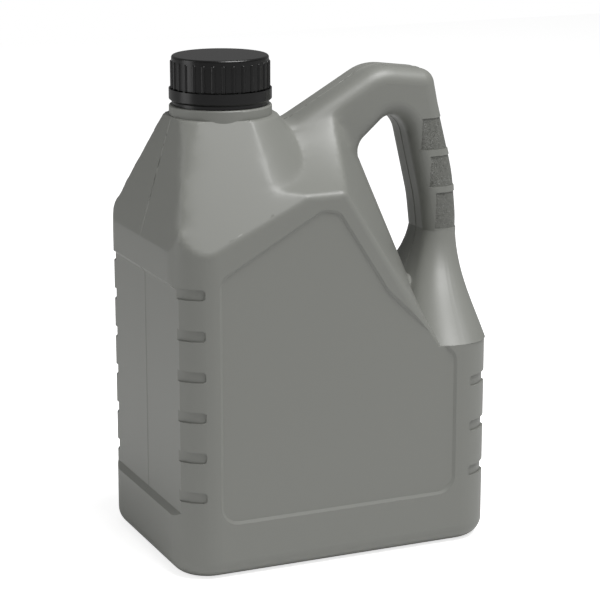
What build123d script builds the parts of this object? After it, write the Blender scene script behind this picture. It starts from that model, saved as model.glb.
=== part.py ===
"""Hydraulic oil jug: a blow-moulded shell with a screw cap, its tamper ring and its liner.

Millimetres. X runs along the broad face with the neck at minus X and the handle at plus X,
the label face looks to minus Y, and the jug stands on Z = 0.
Outlines are given as shares: X of the half length, Y of the half depth and Z of the shoulder height.
"""
import os

from build123d import *

# body block
body_length = 188.0
body_depth = 124.4
shoulder_height = 243.6
corner_radius = 21.5
base_radius = 10.0
wall = 1.3
half_length = body_length / 2
half_depth = body_depth / 2

# base: a push-up inside a standing rim
rim_width = 16.0
push_up = 3.0

# neck and collar
neck_share = 0.4926
neck_x = -neck_share * half_length
collar_radius = 28.0
collar_height = 5.6
collar_round = 1.0
collar_top = shoulder_height + collar_height

# shoulder: the roof planes of the broad faces and of the neck end, and the cone round the collar
front_roof_low_shares = (-0.862, 0.728)
front_roof_high_shares = (-0.287, 0.833)
end_roof_low_share = 0.739
roof_margin = 0.6
cone_margin = 3.0
cone_share = 0.70
roof_round = 6.0
valley_round = 4.0
saddle_round = 5.0
roof_low = end_roof_low_share * shoulder_height

# saddle from the neck to the handle: the face edge, the crest at some lengths and the bell between
saddle_edge_share = 0.852
saddle_end_share = 0.30
saddle_crest_shares = [(-0.49, 0.968), (-0.15, 0.968), (0.11, 1.012), (0.40, 1.072)]
saddle_bell_shares = [(1.0, 0.0), (0.66, 0.30), (0.38, 0.66), (0.20, 0.92), (0.0, 1.0)]

# slanted side beside the handle opening: x at the deck and at the top, at the face and at the ridge
slant_low_share = 0.476
slant_high_share = 1.1
slant_face_shares = (0.6235, -0.4006)
slant_ridge_shares = (0.8163, 0.1125)
slant_round = 6.5
ridge_half_width = 7.0

# foot of the handle: height, start in X and half-width of each level
foot_shares = [(0.476, 0.53, 1.0), (0.534, 0.606, 0.74), (0.600, 0.70, 0.46)]
foot_top_shares = (0.73, 0.788)
foot_inset = 0.4
foot_corner_shares = (0.46, 0.9)

# handle band: corners of the outside and of the opening, with their radii as shares of the half length
band_half_width = 16.5
band_edge_share = 0.0957
band_edge_radius = band_edge_share * half_length
band_outside_shares = [
    (-0.32, 0.62, 0.0),
    (-0.32, 0.972, 0.0),
    (-0.085, 0.9755, 0.16),
    (0.457, 1.0928, 0.298),
    (0.822, 1.0745, 0.096),
    (0.862, 1.0, 0.532),
    (0.973, 0.835, 1.17),
    (1.0, 0.731, 0.851),
    (0.985, 0.42, 0.0),
    (0.213, 0.42, 0.0),
]
band_opening_shares = [
    (0.315, 0.9085, 0.106),
    (0.545, 0.987, 0.096),
    (0.655, 0.950, 0.17),
    (0.762, 0.772, 0.957),
    (0.800, 0.640, 0.149),
    (0.690, 0.583, 0.032),
]

# grip pads on both sides of the handle: bands of height, sunk a little between ribs
pad_depth = 0.5
pad_shares = [(0.703, 0.790, 0.825), (0.803, 0.877, 0.785), (0.891, 0.966, 0.725)]
pad_half_gap = 7.0

# label panels with their corners as in the handle band, end panels and corner notches
label_depth = 1.0
label_ledge = 1.6
label_shares = [
    (-0.755, 0.131, 0.096),
    (0.712, 0.131, 0.096),
    (0.712, 0.452, 0.096),
    (0.262, 0.620, 0.213),
    (-0.045, 0.806, 0.064),
    (-0.138, 0.812, 0.064),
    (-0.755, 0.679, 0.074),
]
end_panel_depth = 2.6
end_panel_ledge = 3.0
near_panel_shares = (0.14, 0.669)
far_panel_shares = (0.14, 0.415)
notch_depth = 1.2
notch_height = 6.2
notch_round = 2.0
near_notch_reach = 14.0
far_notch_reach = 17.0
near_notch_count = 6
near_notch_shares = (0.193, 0.0917)
far_notch_count = 3
far_notch_shares = (0.171, 0.1076)

# neck finish under the cap
neck_radius = 23.2
bore_radius = 20.0
neck_height = 23.2
neck_rim = collar_top + neck_height
bead_radius = 24.7
bead_height = 2.0

# tamper ring
ring_radius = 28.0
ring_height = 6.8
ring_chamfer = 1.2
ring_wall = 2.6
lip_radius = 26.1
lip_height = 1.9
lip_wall = 2.4
seat_gap = 0.1
bead_rise = 1.4
lip_low = collar_top + seat_gap
ring_low = lip_low + lip_height
ring_top = ring_low + ring_height
bead_low = ring_low + bead_rise

# cap and liner
break_gap = 0.5
cap_radius = 26.4
cap_round = 1.2
cap_wall = 1.6
cap_roof = 2.0
rib_count = 30
rib_radius = 1.2
rib_stand = 0.75
rib_drop = 2.9
liner_thickness = 1.2
liner_gap = 0.05
liner_clearance = 0.3
cap_low = ring_top + break_gap
liner_low = neck_rim + liner_gap
cap_inside = liner_low + liner_thickness + liner_gap
cap_top = cap_inside + cap_roof

# how close a point has to be to count as lying on a plane
tolerance = 0.05

LOW = (Align.CENTER, Align.CENTER, Align.MIN)


def half_space(point, normal):
    """The block on the side of a plane that its normal points to."""
    reach = 4 * body_length
    return Plane(origin=point, z_dir=normal) * Box(reach, reach, reach, align=LOW)


def tube(radius, low, high):
    """A round bar on the neck axis between two heights."""
    return Pos(neck_x, 0, low) * Cylinder(radius, high - low, align=LOW)


def prism(inset, low, high):
    """The rounded block of the body, moved inward by the inset."""
    plan = RectangleRounded(body_length - 2 * inset, body_depth - 2 * inset, corner_radius - inset)
    return extrude(Pos(0, 0, low) * plan, amount=high - low)


def rounded(shares):
    """A face in X and Z from corner shares, each with the share of the half length that rounds it."""
    corners = [(x * half_length, z * shoulder_height, r * half_length) for x, z, r in shares]
    shape = make_face(Polyline(*[(x, z) for x, z, r in corners], close=True))
    for x, z, r in corners:
        if r > 0:
            spot = shape.vertices().sort_by_distance((x, z, 0))[0]
            shape = fillet(spot, r)
    return shape


def slant_form(inset):
    """What stays beside the handle opening: all on the neck side of the slanted side and its ridge."""

    def section(z_share, end):
        fx = slant_face_shares[end] * half_length - inset
        rx = slant_ridge_shares[end] * half_length - inset
        w = ridge_half_width
        d = half_depth - inset
        far = body_length
        plan = Polygon((-far, -d), (fx, -d), (rx, -w), (rx, w), (fx, d), (-far, d), align=None)
        corners = plan.vertices().filter_by(lambda spot: spot.X > -far + tolerance)
        return Pos(0, 0, z_share * shoulder_height - inset) * fillet(corners, slant_round - inset)

    return loft([section(slant_low_share, 0), section(slant_high_share, 1)], ruled=True)


def foot_form(inset):
    """The flared foot of the handle, from the body's end up to the grip."""
    levels = []
    high_x = half_length - inset
    for z_share, x_share, y_share in foot_shares:
        low_x = x_share * half_length + inset
        side = max(y_share * half_depth, band_half_width) - inset
        levels.append((z_share * shoulder_height - inset, low_x, high_x, side))
        high_x = half_length - inset - foot_inset
    z_share, x_share = foot_top_shares
    low_x = x_share * half_length + inset + foot_inset
    levels.append((z_share * shoulder_height, low_x, high_x, band_half_width - inset - foot_inset))
    sections = []
    for z, low_x, high_x, side in levels:
        along, across = foot_corner_shares
        size = min(corner_radius - inset, (high_x - low_x) * along, side * across)
        plan = RectangleRounded(high_x - low_x, 2 * side, size)
        sections.append(Pos((low_x + high_x) / 2, 0, z) * plan)
    return loft(sections)


def saddle_form(inset):
    """The roof from the neck to the handle: bell-shaped sections along X."""
    sections = []
    edge = saddle_edge_share * shoulder_height - inset
    for x_share, crest_share in saddle_crest_shares:
        rise = crest_share * shoulder_height - inset - edge
        bell = [(y * half_depth, edge + z * rise) for y, z in saddle_bell_shares]
        mirror = [(-y, z) for y, z in reversed(bell[:-1])]
        top = Spline(*bell, *mirror)
        foot = Polyline(mirror[-1], (-half_depth, 0), (half_depth, 0), bell[0])
        sections.append(Plane.YZ.offset(x_share * half_length) * make_face(top + foot))
    return loft(sections)


def crown_form(inset):
    """The cone round the collar and the saddle, with the valley between them rounded."""
    top = collar_radius + cone_margin - inset
    high = shoulder_height - inset
    cone = Pos(neck_x, 0, 0) * Rot(0, 0, 180) * Cone(top + cone_share * high, top, high, align=LOW)
    crown = cone + saddle_form(inset)
    valley = []
    for edge in crown.edges():
        middle = edge.position_at(0.5)
        across = edge.length > half_depth and abs(middle.Y) < tolerance
        if across and middle.X > neck_x and roof_low < middle.Z < high - tolerance:
            valley.append(edge)
    return fillet(valley, valley_round + inset)


def core_form(inset):
    """The jug without its handle, moved inward by the inset."""
    block = prism(inset, inset, slant_high_share * shoulder_height - inset)
    block = fillet(block.edges().group_by(Axis.Z)[0], base_radius - inset)
    low_x, low_z = front_roof_low_shares
    high_x, high_z = front_roof_high_shares
    a = Vector(low_x * half_length, -half_depth, low_z * shoulder_height)
    b = Vector(high_x * half_length, -half_depth, high_z * shoulder_height)
    c = Vector(neck_x, -collar_radius - roof_margin, shoulder_height)
    n = (b - a).cross(c - a).normalized()
    front = half_space(a - n * inset, n)
    end_run = half_length + neck_x - collar_radius - roof_margin
    m = Vector(roof_low - shoulder_height, 0, end_run).normalized()
    end = half_space(Vector(-half_length, 0, roof_low) - m * inset, m)
    block = block - front - front.mirror(Plane.XZ) - end
    soft = []
    for edge in block.edges():
        spots = [edge.position_at(share) for share in (0, 0.5, 1)]
        on_face = all(abs(abs(spot.Y) - half_depth + inset) < tolerance for spot in spots)
        sloping = abs(spots[0].X - spots[2].X) > tolerance and spots[1].Z > roof_low - corner_radius
        by_end = spots[1].X < neck_x - collar_radius
        at_end = by_end and roof_low - 2 * wall < spots[1].Z < roof_low + roof_round
        if (on_face and sloping) or at_end:
            soft.append(edge)
    block = fillet(soft, roof_round - inset)
    deck = slant_low_share * shoulder_height - inset
    past_saddle = half_space((saddle_end_share * half_length, 0, 0), (1, 0, 0))
    sides = slant_form(inset) + prism(inset, 0, deck)
    return block & sides & (crown_form(inset) + past_saddle)


def soften(core, inset):
    """Round the edge between the saddle and the slanted side, from one broad face to the other."""
    low_x, low_z = front_roof_low_shares
    high_x, high_z = front_roof_high_shares
    apex_x = low_x + (saddle_edge_share - low_z) / (high_z - low_z) * (high_x - low_x)
    edge_z = saddle_edge_share * shoulder_height - inset
    soft = []
    for edge in core.edges():
        spots = [edge.position_at(share) for share in (0, 0.5, 1)]
        past_apex = min(spot.X for spot in spots) > apex_x * half_length
        if past_apex and min(spot.Z for spot in spots) > edge_z - tolerance:
            soft.append(edge)
    return fillet(soft, saddle_round - inset)


def handle_form(inset):
    """The handle band, moved inward by the inset."""
    face = rounded(band_outside_shares) - rounded(band_opening_shares)
    if inset > 0:
        face = offset(face, amount=-inset, kind=Kind.INTERSECTION)
    side = band_half_width - inset
    bar = extrude(Plane.XZ * face, amount=side, both=True)
    rims = [edge for edge in bar.edges() if abs(abs(edge.center().Y) - side) < tolerance]
    return fillet(rims, band_edge_radius - inset)


def grip_pads():
    """The cutter of the sunk pads on both sides of the grip."""
    skin = handle_form(0) - handle_form(pad_depth)
    across = pad_half_gap + band_half_width / 2
    pads = []
    for low, high, start in pad_shares:
        tall = (high - low) * shoulder_height
        middle = (low + high) / 2 * shoulder_height
        block = Box(half_length, band_half_width, tall, align=(Align.MIN, Align.CENTER, Align.CENTER))
        for side in (-1, 1):
            pads.append(Pos(start * half_length, side * across, middle) * block)
    return skin & Compound(pads)


def end_panel(level_shares, depth, grow):
    """The cutter of the recessed panel on the minus X end."""
    low, high = [share * shoulder_height for share in level_shares]
    x = -half_length
    deep = x + depth + grow
    ledge = end_panel_ledge
    outline = [
        (x - ledge, low - grow),
        (x, low - grow),
        (deep, low + ledge),
        (deep, high - ledge),
        (x, high + grow),
        (x - ledge, high + grow),
    ]
    return extrude(Plane.XZ * Polygon(*outline, align=None), amount=body_depth, both=True)


def notches(count, level_shares, reach, grow):
    """The cutter of the grip notches round both corners of the minus X end, from the lowest up."""
    lowest, step = level_shares
    ring = prism(-corner_radius, 0, shoulder_height) - prism(notch_depth + grow, 0, shoulder_height)
    slot = RectangleRounded(2 * (reach + grow), notch_height + 2 * grow, notch_round + grow)
    bars = []
    for i in range(count):
        place = Pos(-half_length, (lowest + i * step) * shoulder_height)
        bars.append(extrude(Plane.XZ * place * slot, amount=body_depth, both=True))
    return ring & Compound(bars)


def label_panel(grow):
    """The cutter of the label panel on the minus Y face, with a sloping ledge round it."""
    plan = rounded(label_shares)
    floor = offset(plan, amount=grow) if grow > 0 else plan
    rim = offset(plan, amount=label_ledge + grow)
    deep = Plane.XZ.offset(half_depth - label_depth - grow)
    face = Plane.XZ.offset(half_depth)
    return loft([deep * floor, face * rim], ruled=True) + extrude(face * rim, amount=label_ledge)


def details(grow):
    """All that is recessed in the walls. The cavity uses it grown by the wall."""
    label = label_panel(grow)
    return [
        label,
        label.mirror(Plane.XZ),
        end_panel(near_panel_shares, end_panel_depth, grow),
        end_panel(far_panel_shares, end_panel_depth, grow).mirror(Plane.YZ),
        notches(near_notch_count, near_notch_shares, near_notch_reach, grow),
        notches(far_notch_count, far_notch_shares, far_notch_reach, grow).mirror(Plane.YZ),
        prism(rim_width - grow, -push_up, push_up + grow),
    ]


def hollow(inset):
    """Body, foot and handle in one, moved inward by the inset."""
    return soften(core_form(inset), inset) + foot_form(inset) + handle_form(inset)


def jug_body():
    collar = tube(collar_radius, shoulder_height - wall, collar_top)
    collar = fillet(collar.edges().group_by(Axis.Z)[-1], collar_round)
    neck = tube(neck_radius, shoulder_height - wall, neck_rim)
    bead = tube(bead_radius, bead_low, bead_low + bead_height)
    outside = hollow(0) + collar + neck + bead - grip_pads()
    cavity = hollow(wall)
    for cut in details(0):
        outside = outside - cut
    for cut in details(wall):
        cavity = cavity - cut
    cavity = cavity + tube(bore_radius, shoulder_height - 4 * wall, neck_rim + wall)
    return outside - cavity


def tamper_ring():
    band = tube(ring_radius, ring_low, ring_top)
    band = chamfer(band.edges().group_by(Axis.Z)[0], ring_chamfer)
    band = band - tube(ring_radius - ring_wall, ring_low - wall, ring_top + wall)
    lip = tube(lip_radius, lip_low, ring_low + ring_chamfer)
    band = band + lip
    return band - tube(lip_radius - lip_wall, lip_low - wall, ring_low + wall)


def screw_cap():
    cup = tube(cap_radius, cap_low, cap_top)
    cup = fillet(cup.edges().group_by(Axis.Z)[-1], cap_round)
    rib = Cylinder(rib_radius, cap_top - rib_drop - cap_low, align=LOW)
    rib = fillet(rib.edges().group_by(Axis.Z)[-1], rib_radius / 2)
    ribs = PolarLocations(cap_radius + rib_stand - rib_radius, rib_count) * rib
    cup = cup + Pos(neck_x, 0, cap_low) * Compound(ribs)
    return cup - tube(cap_radius - cap_wall, cap_low - wall, cap_inside)


def cap_liner():
    return tube(cap_radius - cap_wall - liner_clearance, liner_low, liner_low + liner_thickness)


os.makedirs("parts", exist_ok=True)
nodes = {
    "jug_body": jug_body(),
    "tamper_ring": tamper_ring(),
    "screw_cap": screw_cap(),
    "cap_liner": cap_liner(),
}
for name, shape in nodes.items():
    print(name, round(shape.volume), shape.is_valid, len(shape.solids()), len(shape.faces()))
    export_step(shape, "parts/" + name + ".step")
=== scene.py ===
# %% [markdown]
# # A hydraulic oil jug
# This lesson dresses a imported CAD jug: a grey blow-moulded shell with a hollow handle, a black
# ribbed screw cap, the tamper ring under it and the sealing disc inside the cap.
# The CAD gives the shapes and sizes. Here come the finishes, a softer roll on the shoulder, the small
# moulded details that are too fine for the CAD, the light and the camera.

# %% Load the frame
import math

import bmesh
import bpy
from mathutils import Matrix, Vector
from mathutils.interpolate import poly_3d_calc


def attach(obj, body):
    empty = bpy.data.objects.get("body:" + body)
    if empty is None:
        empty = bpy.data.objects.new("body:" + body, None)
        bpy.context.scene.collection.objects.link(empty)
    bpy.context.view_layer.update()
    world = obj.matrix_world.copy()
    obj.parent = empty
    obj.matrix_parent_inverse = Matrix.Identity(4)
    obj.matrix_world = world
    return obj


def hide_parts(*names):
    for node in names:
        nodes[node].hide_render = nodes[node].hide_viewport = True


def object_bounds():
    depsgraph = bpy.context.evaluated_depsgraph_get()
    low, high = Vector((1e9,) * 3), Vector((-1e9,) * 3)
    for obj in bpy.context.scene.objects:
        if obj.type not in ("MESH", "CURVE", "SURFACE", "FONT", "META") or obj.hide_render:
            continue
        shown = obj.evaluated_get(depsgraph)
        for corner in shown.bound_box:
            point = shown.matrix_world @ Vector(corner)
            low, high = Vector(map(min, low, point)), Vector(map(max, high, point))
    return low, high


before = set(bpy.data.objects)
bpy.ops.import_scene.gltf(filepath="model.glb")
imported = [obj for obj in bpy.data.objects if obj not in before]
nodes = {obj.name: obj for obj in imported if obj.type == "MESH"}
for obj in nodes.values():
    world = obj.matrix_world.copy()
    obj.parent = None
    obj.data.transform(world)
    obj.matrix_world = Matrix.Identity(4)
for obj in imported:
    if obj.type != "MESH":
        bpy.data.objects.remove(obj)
cad_low, cad_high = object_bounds()
print("nodes:", sorted(nodes), "box:", tuple(cad_high - cad_low))

# %% [markdown]
# ## Small tools
# Everything is in metres, but sizes read best in millimetres, so `MM` converts them.
# Colours are written as the sRGB hex values that a picture editor shows. Shaders work with linear
# light, so one function converts them.
# One more function adds a shader node, sets its values and links its inputs.

# %% Units, colour and nodes
MM = 0.001


def linear(hex_colour):
    channels = [int(hex_colour[i:i + 2], 16) / 255 for i in (1, 3, 5)]
    light = [c / 12.92 if c <= 0.04045 else ((c + 0.055) / 1.055) ** 2.4 for c in channels]
    return (*light, 1.0)


def add(tree, kind, settings=None, **inputs):
    """Adds a node. Settings are its properties, and inputs are values or sockets by input name."""
    node = tree.nodes.new(kind)
    for name, value in (settings or {}).items():
        setattr(node, name, value)
    for name, value in inputs.items():
        socket = node.inputs[int(name[1:])] if name[0] == "_" else node.inputs[name.replace("_", " ")]
        if isinstance(value, bpy.types.NodeSocket):
            tree.links.new(value, socket)
        else:
            socket.default_value = value
    return node


def new_material(name):
    material = bpy.data.materials.new(name)
    material.use_nodes = True
    material.node_tree.nodes.clear()
    return material, material.node_tree


def per_metre(size_mm):
    """The scale that makes one cell of a pattern this many millimetres wide."""
    return 1 / (size_mm * MM)


print("linear mid grey:", linear("#808080")[0])

# %% [markdown]
# ## Blow-moulded polyethylene
# The shell is high-density polyethylene with a grey, faintly metallic pigment, blown against a
# sand-blasted steel mould. That gives a satin skin: broad soft highlights and no sharp reflections.
# A fine noise bump stands for the mould's blasted grain. The real grain is about 0.3 mm, and it is
# drawn about three times as coarse so that it shows in a picture of this size.
# The sunk pads on the grip carry an etched, leather-like grain. A distorted noise cut to thin
# furrows draws it, and a mask keeps it to the pads: their heights, and away from the parting line.
# Etched plastic looks darker than the skin beside it, because its furrows shade themselves, so the pads are
# given a darker grey: painted shade.

# %% The shell's material
GREY = "#7f807b"
SHELL_ROUGHNESS = 0.44
POLYETHYLENE_IOR = 1.53
SKIN_GRAIN_MM = 0.9
SKIN_DEPTH_MM = 0.02
SKIN_STRENGTH = 0.25
PAD_GRAIN_MM = 3.2
PAD_DEPTH_MM = 0.35
# Darker grey for the grip pads: painted shade for the self-shadowing of their furrows.
PAD_PAINTED_SHADE_GREY = "#6b6c67"
PAD_LEVELS_MM = [(171.8, 192.0), (196.1, 213.2), (217.5, 234.9)]
PAD_START_MM = [78.2, 74.4, 68.8]
PAD_HALF_GAP_MM = 7.6
PAD_DISTORTION = 1.5
FURROW_COUNT = 6.0
FURROW_FOLD = 0.5


def math_node(tree, operation, first, second):
    return add(tree, "ShaderNodeMath", {"operation": operation}, _0=first, _1=second).outputs["Value"]


def pad_mask(tree, place):
    """One on the grip pads and zero elsewhere."""
    axes = add(tree, "ShaderNodeSeparateXYZ", Vector=place)
    aside = math_node(tree, "ABSOLUTE", axes.outputs["Y"], 0.0)
    beside = math_node(tree, "GREATER_THAN", aside, PAD_HALF_GAP_MM * MM)
    total = 0.0
    for (low, high), start in zip(PAD_LEVELS_MM, PAD_START_MM):
        above = math_node(tree, "GREATER_THAN", axes.outputs["Z"], low * MM)
        below = math_node(tree, "LESS_THAN", axes.outputs["Z"], high * MM)
        past = math_node(tree, "GREATER_THAN", axes.outputs["X"], start * MM)
        level = math_node(tree, "MULTIPLY", above, below)
        total = math_node(tree, "ADD", math_node(tree, "MULTIPLY", level, past), total)
    return math_node(tree, "MULTIPLY", total, beside)


def satin_polyethylene():
    material, tree = new_material("blow_moulded_polyethylene")
    place = add(tree, "ShaderNodeTexCoord").outputs["Object"]
    grain = add(tree, "ShaderNodeTexNoise", Vector=place, Scale=per_metre(SKIN_GRAIN_MM), Detail=2.0)
    skin_bump = add(tree, "ShaderNodeBump", Height=grain.outputs["Fac"], Strength=SKIN_STRENGTH,
                    Distance=SKIN_DEPTH_MM * MM)
    furrows = add(tree, "ShaderNodeTexNoise", Vector=place, Scale=per_metre(PAD_GRAIN_MM), Detail=1.0,
                  Distortion=PAD_DISTORTION)
    waves = math_node(tree, "MULTIPLY", furrows.outputs["Fac"], FURROW_COUNT)
    ripple = math_node(tree, "PINGPONG", waves, FURROW_FOLD)
    pads = pad_mask(tree, place)
    leather = math_node(tree, "MULTIPLY", ripple, pads)
    bump = add(tree, "ShaderNodeBump", Height=leather, Normal=skin_bump.outputs["Normal"], Strength=1.0,
               Distance=PAD_DEPTH_MM * MM)
    # The mask mixes in the pads' darker grey: painted shade, not a different plastic.
    colour = add(tree, "ShaderNodeMix", {"data_type": "RGBA"}, _0=pads, _6=linear(GREY), _7=linear(PAD_PAINTED_SHADE_GREY))
    skin = add(tree, "ShaderNodeBsdfPrincipled", Normal=bump.outputs["Normal"], Base_Color=colour.outputs[2],
               Roughness=SHELL_ROUGHNESS, IOR=POLYETHYLENE_IOR)
    add(tree, "ShaderNodeOutputMaterial", Surface=skin.outputs["BSDF"])
    return material


print("grain:", SKIN_GRAIN_MM, "mm, pads:", len(PAD_LEVELS_MM))

# %% [markdown]
# ## Moulded polypropylene and foam
# The cap and the ring are injection-moulded polypropylene with carbon black. The steel mould is
# finely spark-eroded, so the black is satin too, with slightly tighter highlights than the shell's.
# The liner is a white foamed polyethylene disc, quite matt.

# %% The cap's materials
BLACK = "#0a0a0a"
FOAM = "#e4e3dd"
CAP_ROUGHNESS = 0.27
FOAM_ROUGHNESS = 0.85
POLYPROPYLENE_IOR = 1.5
CAP_GRAIN_MM = 0.6
CAP_DEPTH_MM = 0.015
FOAM_CELL_MM = 0.8
FOAM_DEPTH_MM = 0.05
GRAIN_STRENGTH = 0.3


def moulded_plastic(name, colour, roughness, cell_mm, depth_mm):
    material, tree = new_material(name)
    place = add(tree, "ShaderNodeTexCoord").outputs["Object"]
    grain = add(tree, "ShaderNodeTexNoise", Vector=place, Scale=per_metre(cell_mm), Detail=2.0)
    bump = add(tree, "ShaderNodeBump", Height=grain.outputs["Fac"], Strength=GRAIN_STRENGTH,
               Distance=depth_mm * MM)
    skin = add(tree, "ShaderNodeBsdfPrincipled", Normal=bump.outputs["Normal"], Base_Color=linear(colour),
               Roughness=roughness, IOR=POLYPROPYLENE_IOR)
    add(tree, "ShaderNodeOutputMaterial", Surface=skin.outputs["BSDF"])
    return material


print("cap grain:", CAP_GRAIN_MM, "mm, foam cell:", FOAM_CELL_MM, "mm")

# %% [markdown]
# ## Giving the CAD pieces their finish
# The ring, the cap and the liner have the right shape already, so they only take a material. The body
# takes one too, and the next step shows a softer copy of it in its place.

# %% Assign the materials
shell_finish = satin_polyethylene()
cap_finish = moulded_plastic("moulded_black_polypropylene", BLACK, CAP_ROUGHNESS, CAP_GRAIN_MM,
                             CAP_DEPTH_MM)
foam_finish = moulded_plastic("white_foam_liner", FOAM, FOAM_ROUGHNESS, FOAM_CELL_MM, FOAM_DEPTH_MM)
finishes = {"jug_body": shell_finish, "tamper_ring": cap_finish, "screw_cap": cap_finish,
            "cap_liner": foam_finish}
for name, finish in finishes.items():
    nodes[name].data.materials.clear()
    nodes[name].data.materials.append(finish)
    print(name, "takes", finish.name)

# %% [markdown]
# ## A softer shoulder
# Blown plastic never fills a sharp mould corner: the shoulder, the saddle and the root of the handle
# run into each other in soft rolls. The CAD builds them from planes, a cone and a saddle with modest
# fillets, so the skin shown here is a copy of the CAD mesh with that region evened out.
# The copy is merged and cut by a grid of planes, because smoothing needs cells of one size.
# A vertex group then tells a Smooth modifier where to work, and how much. The inside of the shell is
# drawn in first, so that it can't show through the smoothed outside.
# Faces outside the region keep the normals that the CAD gave them, so flat panels stay flat.

# %% A copy with a grid through the shoulder
CELL_MM = 3
NECK_X_MM = -46.3
COLLAR_LOW_MM = 243.4
COLLAR_RADIUS_MM = 34.0
DRAW_IN_MM = 4.0
DRAW_IN_FROM_SHARE = 0.15
FACE_RAMP_MM = (61.0, 56.0)
HEIGHT_RAMP_MM = (173.0, 188.0)
GRIP_RAMP_MM = (36.0, 20.0)
COLLAR_RAMP_MM = (30.0, 42.0)
GRID_MM = [(-92, 43), (-60, 61), (168, 256)]
MERGE_MM = 0.001
CUT_REACH_MM = 0.01
SMOOTH_FACTOR = 0.5
SMOOTH_STEPS = 60


def ramp(value, low, high):
    """Zero at low, one at high, and even between them."""
    return min(max((value - low) / (high - low), 0.0), 1.0)


def softness(place):
    """How much a point of the shell is smoothed."""
    x, y, z = (axis / MM for axis in place)
    off_face = ramp(abs(y), *FACE_RAMP_MM)
    above = ramp(z, *HEIGHT_RAMP_MM)
    before_grip = ramp(x, *GRIP_RAMP_MM)
    off_collar = ramp(math.hypot(x - NECK_X_MM, y), *COLLAR_RAMP_MM)
    return off_face * above * before_grip * off_collar


def by_neck(place):
    """Whether a point belongs to the collar or the neck, where the two skins meet."""
    from_axis = math.hypot(place.x - NECK_X_MM * MM, place.y)
    return from_axis < COLLAR_RADIUS_MM * MM and place.z > COLLAR_LOW_MM * MM


def inner_verts(shape):
    """The vertices of the inner skin below the neck: those that the base's outside doesn't lead to."""
    allowed = {v for v in shape.verts if not by_neck(v.co)}
    found = {min(shape.verts, key=lambda v: v.co.z)}
    fresh = list(found)
    while fresh:
        spot = fresh.pop()
        for link in spot.link_edges:
            other = link.other_vert(spot)
            if other in allowed and other not in found:
                found.add(other)
                fresh.append(other)
    return allowed - found


def gridded_shell():
    shape = bmesh.new()
    shape.from_mesh(nodes["jug_body"].data)
    cad_face = shape.faces.layers.int.new("cad_face")
    inner_skin = shape.verts.layers.int.new("inner_skin")
    for face in shape.faces:
        face[cad_face] = face.index
        face.smooth = True
    bmesh.ops.remove_doubles(shape, verts=shape.verts, dist=MERGE_MM * MM)
    faces = [f for f in shape.faces if max(softness(v.co) for v in f.verts) > 0]
    corners = dict.fromkeys(v for f in faces for v in f.verts)
    edges = dict.fromkeys(e for f in faces for e in f.edges)
    geometry = [*corners, *edges, *faces]
    for axis, (low, high) in enumerate(GRID_MM):
        normal = [0.0, 0.0, 0.0]
        normal[axis] = 1.0
        for level in range(low, high, CELL_MM):
            geometry = bmesh.ops.bisect_plane(shape, geom=geometry, dist=CUT_REACH_MM * MM, plane_no=normal,
                                              plane_co=[n * level * MM for n in normal])["geom"]
    shape.normal_update()
    for v in inner_verts(shape):
        v[inner_skin] = 1
        v.co += v.normal * DRAW_IN_MM * MM * ramp(softness(v.co), 0.0, DRAW_IN_FROM_SHARE)
    bmesh.ops.triangulate(shape, faces=[f for f in shape.faces if len(f.verts) > 4])
    return shape


def keep_cad_normals(piece, source):
    """Gives every corner outside the soft region the normal that the CAD mesh has there."""
    mesh = piece.data
    cad_face = mesh.attributes["cad_face"].data
    corner_normals = source.corner_normals
    wanted = []
    for face in mesh.polygons:
        spots = [mesh.vertices[i].co for i in face.vertices]
        kept = max(softness(spot) for spot in spots) == 0
        corners = source.polygons[cad_face[face.index].value].loop_indices if kept else ()
        places = [source.vertices[source.loops[i].vertex_index].co for i in corners]
        for spot in spots:
            shares = zip(corners, poly_3d_calc(places, spot))
            wanted.append(sum((corner_normals[i].vector * share for i, share in shares), Vector()))
    mesh.normals_split_custom_set(wanted)


def new_piece(name, shape, finish, body):
    mesh = bpy.data.meshes.new(name)
    shape.to_mesh(mesh)
    shape.free()
    mesh.materials.append(finish)
    piece = bpy.data.objects.new(name, mesh)
    bpy.context.scene.collection.objects.link(piece)
    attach(piece, body)
    return piece


soft_shell = new_piece("soft_shell", gridded_shell(), shell_finish, "jug")
keep_cad_normals(soft_shell, nodes["jug_body"].data)
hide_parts("jug_body")
print("shell with a grid:", len(soft_shell.data.polygons), "faces")

# %% Smooth the marked region
soft_group = soft_shell.vertex_groups.new(name="soft")
inner_skin = soft_shell.data.attributes["inner_skin"].data
for v in soft_shell.data.vertices:
    soft_group.add([v.index], 0.0 if inner_skin[v.index].value else softness(v.co), "REPLACE")
smooth = soft_shell.modifiers.new("soft", "SMOOTH")
smooth.factor = SMOOTH_FACTOR
smooth.iterations = SMOOTH_STEPS
smooth.vertex_group = soft_group.name
print("smoothing steps:", smooth.iterations)

# %% [markdown]
# ## Parting line
# A blow mould closes in two halves, and the plastic squeezed between them leaves a fine raised line
# round the middle of the jug, over the handle and inside its opening. It is cut from the softened skin:
# a copy is merged, sliced to a narrow strip at the middle, and its centre row is raised.
# The strip holds the inside of the shell too, so the faces of the inner skin are dropped. So are those
# at the two ends where the jug is widest, because the line would stand out past the CAD's box there.

# %% The bead on the parting line
BEAD_HALF_MM = 0.5
BEAD_STAND_MM = 0.25
BEAD_LOW_MM = 20.0


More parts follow.
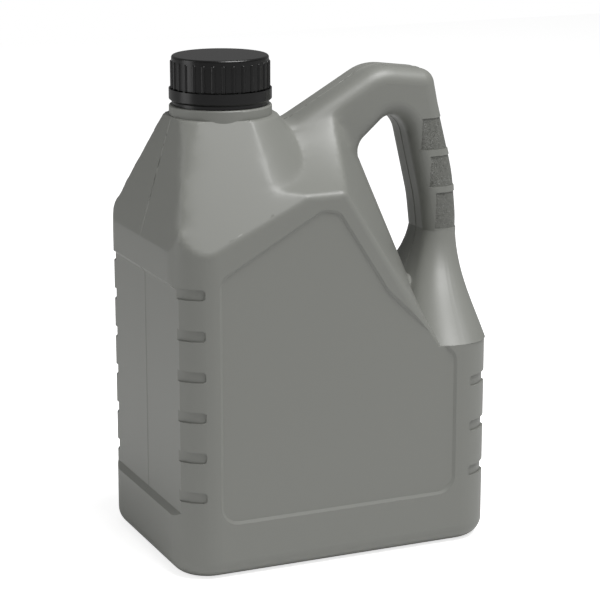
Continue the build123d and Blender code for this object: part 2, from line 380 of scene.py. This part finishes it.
def parting_bead():
    shape = bmesh.new()
    shape.from_mesh(soft_shell.evaluated_get(bpy.context.evaluated_depsgraph_get()).to_mesh())
    bmesh.ops.remove_doubles(shape, verts=shape.verts, dist=MERGE_MM * MM)
    for y in (-BEAD_HALF_MM, BEAD_HALF_MM, 0.0):
        geometry = shape.verts[:] + shape.edges[:] + shape.faces[:]
        bmesh.ops.bisect_plane(shape, geom=geometry, dist=MERGE_MM * MM, plane_co=(0, y * MM, 0),
                               plane_no=(0, 1 if y >= 0 else -1, 0), clear_outer=y != 0)
    inner_skin = shape.verts.layers.int["inner_skin"]
    gone = []
    for face in shape.faces:
        middle = face.calc_center_median()
        widest = min(middle.x - cad_low.x, cad_high.x - middle.x) < BEAD_STAND_MM * MM
        if widest or by_neck(middle) or middle.z < BEAD_LOW_MM * MM or face.verts[0][inner_skin]:
            gone.append(face)
    bmesh.ops.delete(shape, geom=gone, context="FACES")
    shape.normal_update()
    for face in shape.faces:
        face.smooth = False
    for v in shape.verts:
        if abs(v.co.y) < CUT_REACH_MM * MM:
            v.co += v.normal * BEAD_STAND_MM * MM
            v.co.x = min(max(v.co.x, cad_low.x), cad_high.x)
    return shape


parting_line = new_piece("parting_line", parting_bead(), shell_finish, "jug")
taken_over = parting_line.data.attributes.get("custom_normal")
if taken_over:
    parting_line.data.attributes.remove(taken_over)
print("parting line:", len(parting_line.data.polygons), "faces")

# %% [markdown]
# ## Neck thread
# The cap screws down on a helical rib moulded round the neck. The CAD leaves it out, because the
# coupled joints stand in for it. Here a small trapezium is spun round the neck axis while it climbs,
# one pitch to a turn, which is just how a thread is cut. It shows when the cap is lifted.

# %% The thread on the neck
NECK_RADIUS_MM = 23.2
THREAD_STAND_MM = 0.9
THREAD_PITCH_MM = 4.0
THREAD_LOW_MM = 260.6
THREAD_TURNS = 2.0
THREAD_STEPS = 96
THREAD_SINK_MM = 0.2
THREAD_ROOT_MM = (-1.0, 0.9)
THREAD_CREST_MM = (-0.4, 0.3)


def neck_thread():
    shape = bmesh.new()
    root, crest = NECK_RADIUS_MM - THREAD_SINK_MM, NECK_RADIUS_MM + THREAD_STAND_MM
    profile = [(root, THREAD_ROOT_MM[0]), (crest, THREAD_CREST_MM[0]), (crest, THREAD_CREST_MM[1]),
               (root, THREAD_ROOT_MM[1])]
    corners = [shape.verts.new(((NECK_X_MM + r) * MM, 0.0, (THREAD_LOW_MM + z) * MM)) for r, z in profile]
    face = shape.faces.new(corners)
    climb = THREAD_PITCH_MM * THREAD_TURNS / THREAD_STEPS * MM
    bmesh.ops.spin(shape, geom=[face] + face.edges[:] + face.verts[:], cent=(NECK_X_MM * MM, 0, 0),
                   axis=(0, 0, 1), dvec=(0, 0, climb), angle=math.tau * THREAD_TURNS, steps=THREAD_STEPS,
                   use_duplicate=False)
    bmesh.ops.recalc_face_normals(shape, faces=shape.faces)
    return shape


thread = new_piece("neck_thread", neck_thread(), shell_finish, "jug")
print("thread faces:", len(thread.data.polygons))

# %% [markdown]
# ## Broken bridges
# The tamper ring is moulded in one piece with the cap and hangs on thin bridges, which snap when the
# cap is first turned. In the CAD a fine gap parts the two, so small stubs on the ring's rim stand for
# the bridges. They end short of the cap, which can therefore turn.

# %% The bridge stubs
BRIDGE_COUNT = 16
BRIDGE_RADIUS_MM = 26.7
BRIDGE_SIZE_MM = (1.0, 1.6, 0.42)
RING_TOP_MM = 258.0


def bridge_stubs():
    shape = bmesh.new()
    for i in range(BRIDGE_COUNT):
        turn = Matrix.Rotation(math.tau * i / BRIDGE_COUNT, 4, "Z")
        centre = Matrix.Translation((NECK_X_MM * MM, 0, (RING_TOP_MM + BRIDGE_SIZE_MM[2] / 2) * MM))
        out = Matrix.Translation((BRIDGE_RADIUS_MM * MM, 0, 0))
        stub = bmesh.ops.create_cube(shape, size=1.0)["verts"]
        bmesh.ops.scale(shape, vec=Vector(BRIDGE_SIZE_MM) * MM, verts=stub)
        bmesh.ops.transform(shape, matrix=centre @ turn @ out, verts=stub)
    return shape


new_piece("bridge_stubs", bridge_stubs(), cap_finish, "jug")
print("bridge stubs:", BRIDGE_COUNT)

# %% [markdown]
# ## Stage, light and camera
# A product shot on white: a white floor that keeps a soft contact shadow, a large soft key from
# above and in front, and a paler fill from the left. The background is white for the camera and
# dimmer for everything else, which the Light Path node allows without flooding the object with light.

# %% Floor and world
FLOOR_SIZE = 4.2
FLOOR_GLOW = 0.73
WORLD_GLOW = 0.2
PAPER = "#f2f2f2"
WHITE = "#ffffff"


def white_floor():
    shape = bmesh.new()
    bmesh.ops.create_grid(shape, x_segments=1, y_segments=1, size=FLOOR_SIZE / 2)
    mesh = bpy.data.meshes.new("floor")
    shape.to_mesh(mesh)
    shape.free()
    floor = bpy.data.objects.new("floor", mesh)
    bpy.context.scene.collection.objects.link(floor)
    material, tree = new_material("white_paper")
    paper = add(tree, "ShaderNodeBsdfDiffuse", Color=linear(PAPER))
    glow = add(tree, "ShaderNodeEmission", Color=linear(WHITE))
    path = add(tree, "ShaderNodeLightPath")
    strength = math_node(tree, "MULTIPLY", path.outputs["Is Camera Ray"], FLOOR_GLOW)
    tree.links.new(strength, glow.inputs["Strength"])
    both = add(tree, "ShaderNodeAddShader", _0=paper.outputs["BSDF"], _1=glow.outputs["Emission"])
    add(tree, "ShaderNodeOutputMaterial", Surface=both.outputs["Shader"])
    mesh.materials.append(material)
    return floor


def white_world():
    world = bpy.data.worlds.new("studio")
    world.use_nodes = True
    bpy.context.scene.world = world
    tree = world.node_tree
    tree.nodes.clear()
    path = add(tree, "ShaderNodeLightPath")
    direct = math_node(tree, "MAXIMUM", path.outputs["Is Camera Ray"], path.outputs["Is Transmission Ray"])
    soft = add(tree, "ShaderNodeBackground", Color=linear(WHITE), Strength=WORLD_GLOW)
    white = add(tree, "ShaderNodeBackground", Color=linear(WHITE), Strength=1.0)
    mix = add(tree, "ShaderNodeMixShader", _0=direct, _1=soft.outputs["Background"],
              _2=white.outputs["Background"])
    add(tree, "ShaderNodeOutputWorld", Surface=mix.outputs["Shader"])


white_floor()
white_world()
print("stage ready")

# %% Lamps
KEY_PLACE, KEY_SIZE, KEY_POWER = (0.3, -0.5, 1.5), (0.8, 0.8), 24
FILL_PLACE, FILL_SIZE, FILL_POWER = (-1.2, 0.3, 0.5), (0.6, 1.0), 3


def soft_box(name, place, aim, size, power):
    lamp = bpy.data.lights.new(name, "AREA")
    lamp.shape = "RECTANGLE"
    lamp.size, lamp.size_y = size
    lamp.energy = power
    holder = bpy.data.objects.new(name, lamp)
    holder.location = place
    holder.rotation_euler = (Vector(aim) - Vector(place)).to_track_quat("-Z", "Y").to_euler()
    bpy.context.scene.collection.objects.link(holder)
    return holder


middle = (cad_low + cad_high) / 2
soft_box("key", KEY_PLACE, middle, KEY_SIZE, KEY_POWER)
soft_box("left_fill", FILL_PLACE, middle, FILL_SIZE, FILL_POWER)

# %% Camera
CAMERA_PLACE_MM = (-484.844, -1094.179, 435.804)
CAMERA_YAW = 23.938
CAMERA_PITCH = 14.136
FOCAL_PIXELS = 2191.063
PHOTO_PIXELS = 600
SENSOR_WIDTH_MM = 36.0

camera_data = bpy.data.cameras.new("camera")
camera_data.sensor_width = SENSOR_WIDTH_MM
camera_data.lens = SENSOR_WIDTH_MM * FOCAL_PIXELS / PHOTO_PIXELS
camera = bpy.data.objects.new("camera", camera_data)
camera.location = Vector(CAMERA_PLACE_MM) * MM
camera.rotation_euler = (math.radians(90 - CAMERA_PITCH), 0, math.radians(-CAMERA_YAW))
bpy.context.scene.collection.objects.link(camera)
bpy.context.scene.camera = camera
bpy.context.scene.view_settings.view_transform = "Standard"
print("camera lens:", round(camera_data.lens, 1), "mm")
